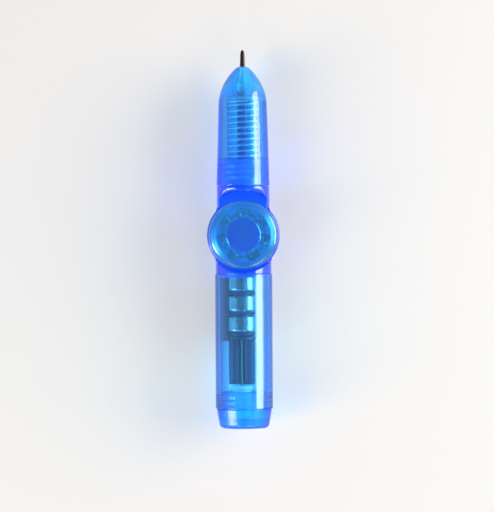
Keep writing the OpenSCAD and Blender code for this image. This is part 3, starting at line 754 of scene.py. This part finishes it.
# Refill: the point and the ink's hollow back end are given as radius and place along the pen
refill = {
    "tube": 1.55, "bore": 1.15, "fill": 1.13, "back": 11.0, "front": 38.48, "seamAt": 20.0, "corner": 0.1,
    "point": [(0.0, 35.5), (1.13, 35.5), (1.13, 38.5), (1.55, 38.5), (1.55, 39.3), (1.25, 39.42),
              (0.68, 44.2), (0.68, 45.2), (0.63, 45.4), (0.56, 48.0), (0.42, 48.78), (0.37, 48.8),
              (0.37, 48.75), (0.26, 48.49), (0.0, 48.38)],
    "pointCorner": 0.08, "ballAt": 48.75, "ballRadius": 0.35, "ballSteps": 16,
    "inkBack": [(0.0, 12.9), (0.6, 12.78), (1.13, 12.62)], "inkFront": 35.48,
    "plugBack": 10.6, "plugHead": 10.98, "plugFront": 12.6, "plugCorner": 0.12,
}
refillTip = turnOut("refillTip", softCorners(refill["point"], refill["pointCorner"]), segments=48)
dress(refillTip, pointMetal, "refill", "point_metal", "refill_tip")
ballProfile = curveOf((0.0, refill["ballAt"]), refill["ballRadius"], -90, 90, refill["ballSteps"])
writingBall = turnOut("writingBall", ballProfile, segments=32)
dress(writingBall, carbide, "refill", "carbide", "writing_ball")
tubeProfile = ringSection(refill["bore"], refill["tube"], refill["back"], refill["front"], refill["seamAt"])
refillTube = turnOut("refillTube", softCorners(tubeProfile, refill["corner"]), segments=64, ring=True)
dress(refillTube, tubePlastic, "refill", "tube_plastic", "refill_tube")
inkProfile = refill["inkBack"] + [(refill["fill"], refill["inkFront"]), (0.0, refill["inkFront"])]
refillInk = turnOut("refillInk", softCorners(inkProfile, refill["corner"]), segments=48)
dress(refillInk, inkPaste, "refill", "ink", "refill_ink")
plugProfile = [(0.0, refill["plugBack"]), (refill["tube"], refill["plugBack"])]
plugProfile += [(refill["tube"], refill["plugHead"]), (refill["fill"], refill["plugHead"])]
plugProfile += [(refill["fill"], refill["plugFront"]), (0.0, refill["plugFront"])]
refillPlug = turnOut("refillPlug", softCorners(plugProfile, refill["plugCorner"]), segments=48)
dress(refillPlug, plugPlastic, "refill", "plug_plastic", "refill_plug")

# Spring and its collar
collar = {"bore": 1.57, "radius": 4.1, "low": 35.68, "high": 36.48, "seamAt": 36.0, "corner": 0.15}
collarProfile = ringSection(collar["bore"], collar["radius"], collar["low"], collar["high"], collar["seamAt"])
springCollar = turnOut("springCollar", softCorners(collarProfile, collar["corner"]), segments=64, ring=True)
dress(springCollar, collarPlastic, "refill", "collar_plastic", "spring_collar")

spring = {"low": 20.02, "high": 35.66, "radius": 3.7, "wire": 0.325, "closed": 0.9, "closedPitch": 1.04,
          "turns": 9.0, "perTurn": 36}
closedRise = spring["closed"] * 2 * spring["wire"] * spring["closedPitch"]
coilLow = spring["low"] + spring["wire"]
coilHigh = spring["high"] - spring["wire"]
openEnd = spring["closed"] + spring["turns"]
laps = [(0.0, coilLow), (spring["closed"], coilLow + closedRise)]
laps += [(openEnd, coilHigh - closedRise), (openEnd + spring["closed"], coilHigh)]


def coilSpot(lap, place):
    angle = 2 * math.pi * lap
    return (spring["radius"] * math.cos(angle), place, penHeight - spring["radius"] * math.sin(angle))


springPath = []
for (fromLap, fromPlace), (toLap, toPlace) in zip(laps, laps[1:]):
    steps = int((toLap - fromLap) * spring["perTurn"])
    for i in range(steps):
        t = i / steps
        springPath.append(coilSpot(fromLap + (toLap - fromLap) * t, fromPlace + (toPlace - fromPlace) * t))
springPath.append(coilSpot(*laps[-1]))
refillSpring = wireAlong("refillSpring", springPath, spring["wire"])
refillSpring.data.materials.append(springSteel)
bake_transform(refillSpring)
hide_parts("refill_spring")
print("writing end built")

# Cells and their seals. The dark seals are drawn taller than real ones, so that each also covers the shaded
# gap under its cell as a band of painted shade
cell = {
    "first": -10.63, "pitch": 5.4, "count": 3, "radius": 3.95, "can": 4.2, "rimHeight": 0.5, "rimIn": 0.3,
    "capRadius": 3.3, "capWall": 0.6, "capIn": 0.45, "height": 5.38, "corner": 0.45,
}
sealAndGapShade = {"inside": 3.32, "outside": 3.62, "top": 0.02, "bottom": 0.95, "seamAt": 0.2, "corner": 0.14}
for i in range(1, cell["count"] + 1):
    top = cell["first"] - (i - 1) * cell["pitch"]
    low = top - cell["can"]
    bottom = top - cell["height"]
    canProfile = [(0.0, top), (cell["radius"], top), (cell["radius"], low + cell["rimHeight"])]
    canProfile += [(cell["radius"] - cell["rimIn"], low), (cell["capRadius"], low)]
    canProfile += [(cell["capRadius"], low - cell["capWall"]), (cell["capRadius"] - cell["capIn"], bottom)]
    canProfile += [(0.0, bottom)]
    buttonCell = turnOut(f"buttonCell{i}", softCorners(canProfile, cell["corner"], steps=5), onPack)
    dress(buttonCell, cellNickel, "battery_pack", "cell_nickel", f"button_cell_{i}")
    # the dark ring runs down over the gap to the next cell as painted shade
    sealProfile = ringSection(sealAndGapShade["inside"], sealAndGapShade["outside"], low - sealAndGapShade["top"], low - sealAndGapShade["bottom"],
                              low - sealAndGapShade["seamAt"], -ease)
    cellSealShadeBand = turnOut(f"cellSealShadeBand{i}", softCorners(sealProfile, sealAndGapShade["corner"]), onPack, ring=True)
    dress(cellSealShadeBand, sealNylon, "battery_pack", "gasket_nylon", f"cell_gasket_{i}")

dressNode("cell_cradle", cradlePlastic)
dressNode("contact_strip", stripNickel)
dressNode("circuit_board", boardLaminate)

# Motion switches: a sleeved can with a hollow end, and two dents where the sleeve shrank over the crimp.
# A dent is given by its place, half its width and its depth.
switch = {
    "radius": 1.65, "front": -27.66, "back": -39.44, "side": 1.85, "hollow": 1.1, "hollowFloor": 1.0,
    "hollowDepth": 0.25, "corner": 0.22, "dents": ((-28.9, 0.3, 0.12), (-38.45, 0.25, 0.1)),
}
switchProfile = [(0.0, switch["front"]), (switch["radius"], switch["front"])]
for place, reach, depth in switch["dents"]:
    switchProfile += [(switch["radius"], place + reach), (switch["radius"] - depth, place)]
    switchProfile += [(switch["radius"], place - reach)]
hollowEnd = switch["back"] + switch["hollowDepth"]
switchProfile += [(switch["radius"], switch["back"]), (switch["hollow"], switch["back"])]
switchProfile += [(switch["hollowFloor"], hollowEnd), (0.0, hollowEnd)]
switchProfile = softCorners(switchProfile, switch["corner"])
for i, side in ((1, -1), (2, 1)):
    about = (packShift + side * switch["side"], 0.0)
    motionSwitch = turnOut(f"motionSwitch{i}", switchProfile, about, segments=48)
    dress(motionSwitch, sleevePlastic, "battery_pack", "switch_plastic", f"motion_switch_{i}")

# Light: a rimmed bullet lens and its two legs
led = {"base": -39.84, "end": -48.44, "rim": 2.9, "rimHeight": 1.0, "lens": 2.5, "domeSteps": 16,
       "corner": 0.12, "leg": 0.25, "legSide": 1.27}
rimEnd = led["base"] - led["rimHeight"]
lensProfile = [(0.0, led["base"]), (led["rim"], led["base"]), (led["rim"], rimEnd), (led["lens"], rimEnd)]
lensProfile += curveOf((0.0, led["end"] + led["lens"]), led["lens"], 0, -90, led["domeSteps"])
ledLens = turnOut("ledLens", softCorners(lensProfile, led["corner"]), onPack, segments=64)
dress(ledLens, lensEpoxy, "battery_pack", "lens_epoxy", "led_lens")
dressNode("led_legs", tinnedWire)
# Solder runs up each leg where it meets the board
solder = {"board": -27.64, "height": 0.6, "radius": 0.56, "skin": 0.02, "steps": 6}
solderProfile = [(0.0, solder["board"])]
for i in range(solder["steps"] + 1):
    t = i / solder["steps"]
    solderProfile.append((led["leg"] + solder["skin"] + (solder["radius"] - led["leg"]) * (1 - t) ** 2,
                          solder["board"] - solder["height"] * t))
solderProfile.append((0.0, solder["board"] - solder["height"]))
for i, side in ((1, -1), (2, 1)):
    legSolder = turnOut(f"legSolder{i}", solderProfile, (packShift, side * led["legSide"]), segments=32)
    dress(legSolder, tinnedWire, "battery_pack", "leg_tin")
print("light built")

# Stage: a pale floor and a camera straight above. The floor's size and the camera's height are in metres.
# A pixel's size and the spin axis's place in the picture, in pixels, set the camera. Its lean is in degrees.
stage = {
    "floor": "#e8e5e2", "lift": 0.25, "size": 1.6, "floorDrop": 0.05, "grain": 1.5, "rough": (0.75, 0.9),
    "relief": 0.01, "ior": 1.45, "walls": 0.6, "ceiling": 0.12, "ceilingAt": 0.7,
    "pixel": 0.265, "pictureHeight": 512, "pictureMiddle": (247, 256), "spinAt": (243.4, 235.3), "lean": 0.34,
    "camera": 0.9, "sensor": 36.0,
}
floorMesh = bpy.data.meshes.new("floor")
reach = stage["size"]
floorAt = -stage["floorDrop"] * mm
floorMesh.from_pydata([(-reach, -reach, floorAt), (reach, -reach, floorAt), (reach, reach, floorAt),
                       (-reach, reach, floorAt)], [], [(0, 1, 2, 3)])
floor = bpy.data.objects.new("floor", floorMesh)
bpy.context.scene.collection.objects.link(floor)
# Paper board, matt: flat and pale. To the camera and in gloss it is a little lighter than its light makes it.
paper, tree, shader, place = startFinish("Paper board matt", {
    "Base Color": toLinear(stage["floor"]), "IOR": stage["ior"]})
wearIn(tree, shader, place, stage["grain"], stage["rough"], stage["relief"])
ray = addNode(tree, "ShaderNodeLightPath")
seen = addNode(tree, "ShaderNodeMath", {0: ray.outputs["Is Camera Ray"], 1: ray.outputs["Is Glossy Ray"]},
               operation="MAXIMUM")
seen = addNode(tree, "ShaderNodeMath", {0: seen.outputs[0], 1: ray.outputs["Is Transmission Ray"]},
               operation="MAXIMUM")
share = addNode(tree, "ShaderNodeMath", {0: seen.outputs[0], 1: stage["lift"]}, operation="MULTIPLY")
white = addNode(tree, "ShaderNodeEmission", {"Color": (1, 1, 1, 1), "Strength": 1.0})
sheet = addNode(tree, "ShaderNodeMixShader", {0: share.outputs[0], 1: shader.outputs[0], 2: white.outputs[0]})
tree.links.new(sheet.outputs[0], tree.nodes["Material Output"].inputs["Surface"])
floorMesh.materials.append(paper)

lean = math.radians(-stage["lean"])
rightWay = Vector((math.cos(lean), math.sin(lean), 0))
upWay = Vector((-math.sin(lean), math.cos(lean), 0))
rightPixels = stage["pictureMiddle"][0] - stage["spinAt"][0]
downPixels = stage["pictureMiddle"][1] - stage["spinAt"][1]
aim = (rightWay * rightPixels - upWay * downPixels) * stage["pixel"] * mm
lens = bpy.data.cameras.new("camera")
lens.sensor_fit = "VERTICAL"
lens.sensor_height = stage["sensor"]
lens.lens = stage["sensor"] * stage["camera"] / (stage["pictureHeight"] * stage["pixel"] * mm)
camera = bpy.data.objects.new("camera", lens)
camera.location = (aim.x, aim.y, penHeight * mm + stage["camera"])
camera.rotation_euler = (0, 0, lean)
bpy.context.scene.collection.objects.link(camera)
bpy.context.scene.camera = camera

# Lamps: a long soft one at the right, a broad one at the left and two weak ones near the viewer.
# Sizes and places are in metres, power in watts.
lamps = {
    "keyStrip": {"size": (0.32, 0.5), "at": (0.52, 0.1, 0.22), "aim": (0, 0.1, 0.008), "power": 4.3},
    "leftWindow": {"size": (0.44, 0.19), "at": (-0.56, -0.25, 0.36), "aim": (0, 0, 0.008), "power": 3.5},
    "nearLamp": {"size": (0.22, 0.34), "at": (0.26, -0.5, 0.45), "aim": (0, 0, 0.008), "power": 0.9},
    "nearLeftLamp": {"size": (0.12, 0.34), "at": (-0.21, -0.52, 0.45), "aim": (0, 0, 0.008), "power": 0.45},
}
for name, lampPlan in lamps.items():
    lamp = bpy.data.lights.new(name, "AREA")
    lamp.shape = "RECTANGLE"
    lamp.size, lamp.size_y = lampPlan["size"]
    lamp.energy = lampPlan["power"]
    holder = bpy.data.objects.new(name, lamp)
    holder.location = lampPlan["at"]
    away = (Vector(lampPlan["at"]) - Vector(lampPlan["aim"])).normalized()
    across = Vector((0, 1, 0)).cross(away).normalized()
    holder.rotation_euler = Matrix((across, away.cross(across), away)).transposed().to_euler()
    bpy.context.scene.collection.objects.link(holder)

# Pale walls under a dark ceiling, so gloss from above shows the lamps alone
world = bpy.data.worlds.new("studio")
bpy.context.scene.world = world
world.use_nodes = True
tree = world.node_tree
backing = tree.nodes["Background"]
backing.inputs["Color"].default_value = (1, 1, 1, 1)
way = addNode(tree, "ShaderNodeSeparateXYZ", {0: addNode(tree, "ShaderNodeTexCoord").outputs["Generated"]})
level = addNode(tree, "ShaderNodeMapRange", {
    "Value": way.outputs["Z"], "From Min": 0.0, "From Max": stage["ceilingAt"],
    "To Min": stage["walls"], "To Max": stage["ceiling"]}, interpolation_type="SMOOTHSTEP")
tree.links.new(level.outputs["Result"], backing.inputs["Strength"])
bpy.context.scene.view_settings.view_transform = "Standard"
print("stage set")
